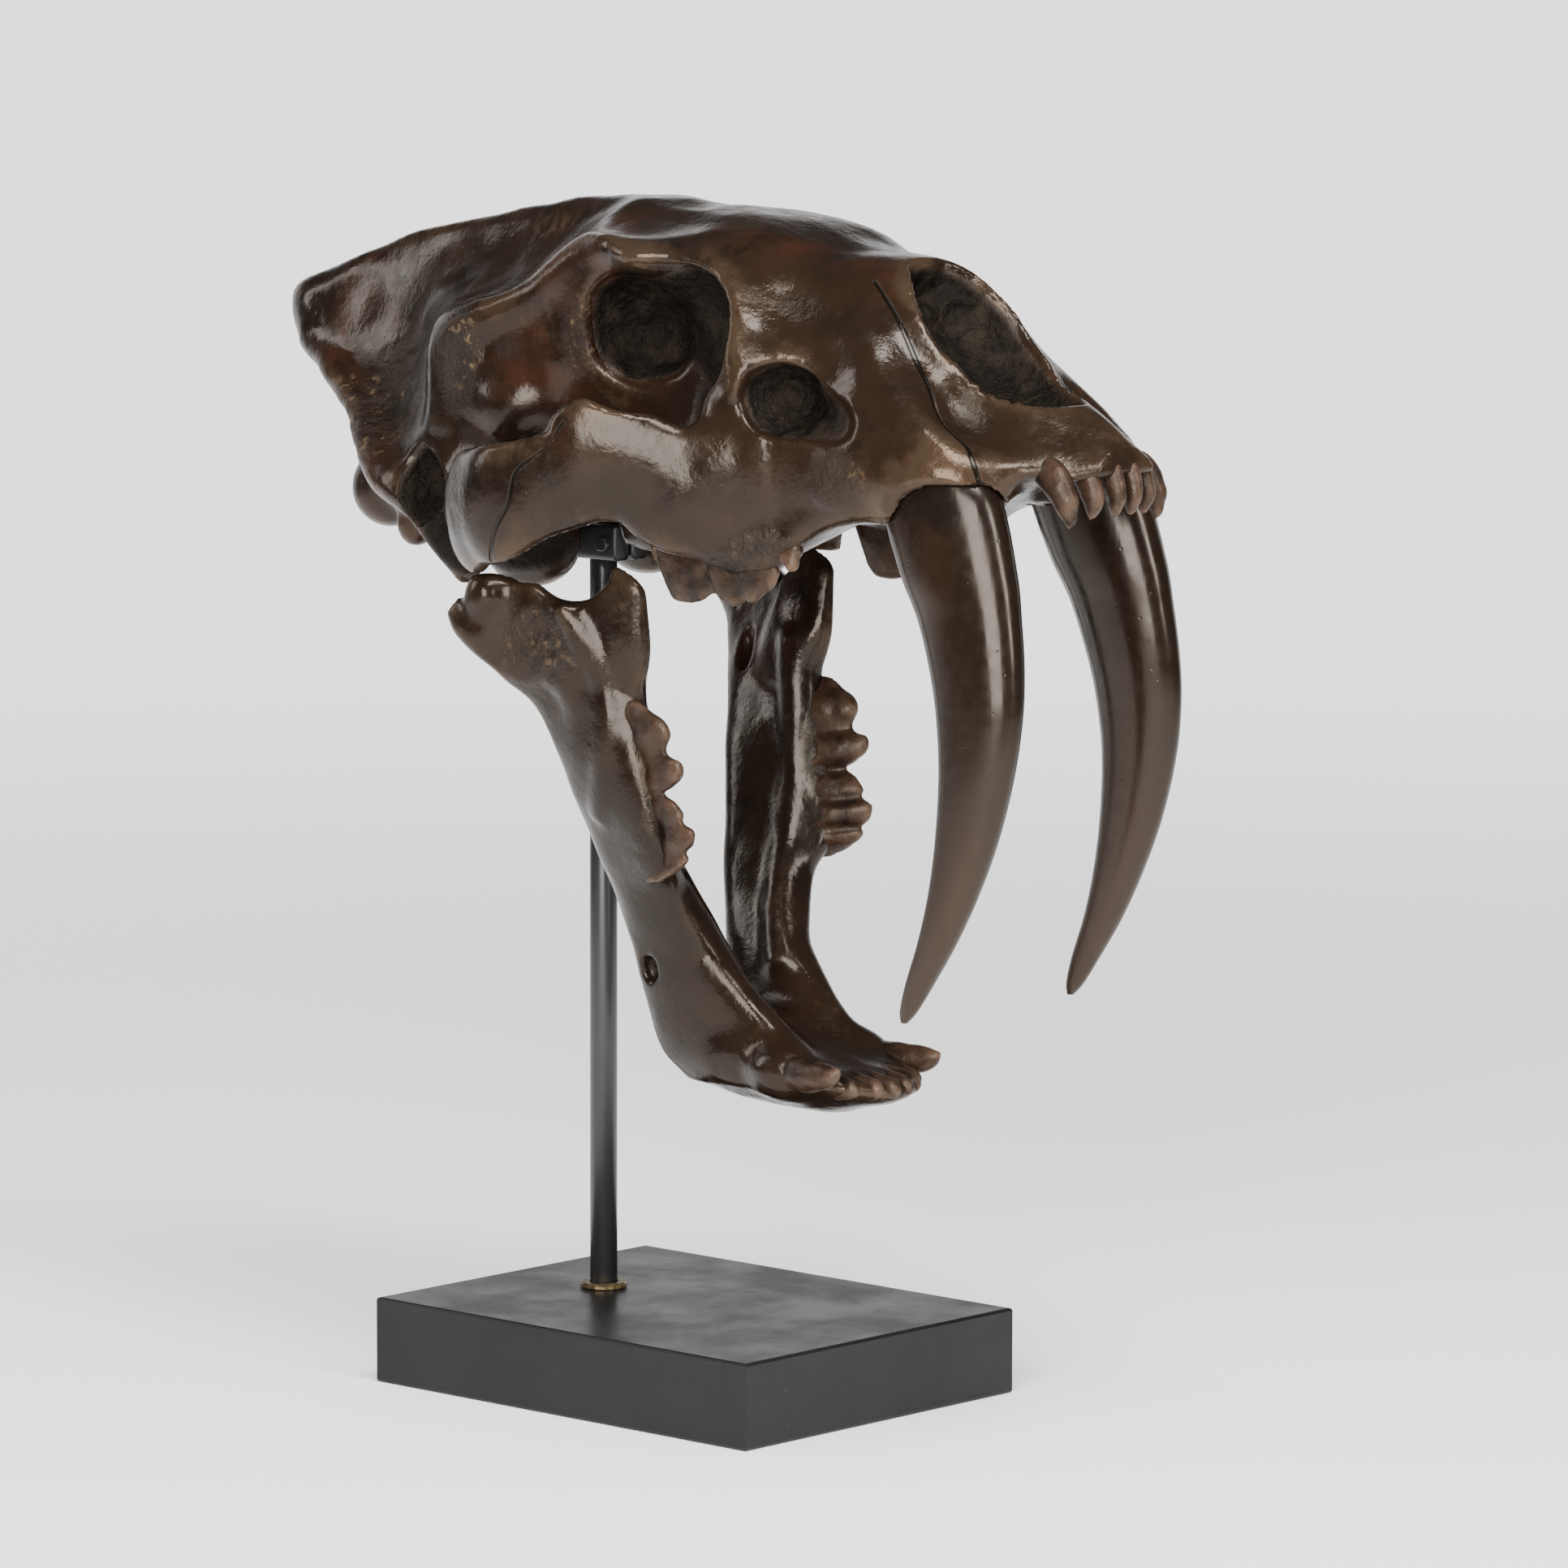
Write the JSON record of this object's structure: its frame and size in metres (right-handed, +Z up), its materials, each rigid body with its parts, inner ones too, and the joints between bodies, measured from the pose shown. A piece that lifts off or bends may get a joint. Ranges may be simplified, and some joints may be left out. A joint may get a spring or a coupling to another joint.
{
  "type": "sabre-toothed cat skull on a stand",
  "caption": "Bronze cast of a sabre-toothed cat's skull with its mouth wide open, carried on a thin rod over a black block, for display.",
  "frame": {"origin": "centre of the block's underside", "axes": "+X from the back of the skull to its muzzle, +Y to the animal's left, +Z up"},
  "size_m": [0.3241, 0.167, 0.3454],
  "materials": {
    "bronze": "dark brown patina, glossy",
    "sabre_bronze": "warm brown patina, glossy",
    "block_black": "satin black paint",
    "rod_black": "semi-gloss black",
    "washer_brass": "dull"
  },
  "bodies": {
    "root": {"base": "block_black", "rod": "rod_black", "washer": "washer_brass", "clamp": "rod_black", "cranium": "bronze", "mandible": "bronze", "sabre_left": "sabre_bronze", "sabre_right": "sabre_bronze"}
  },
  "joints": []
}
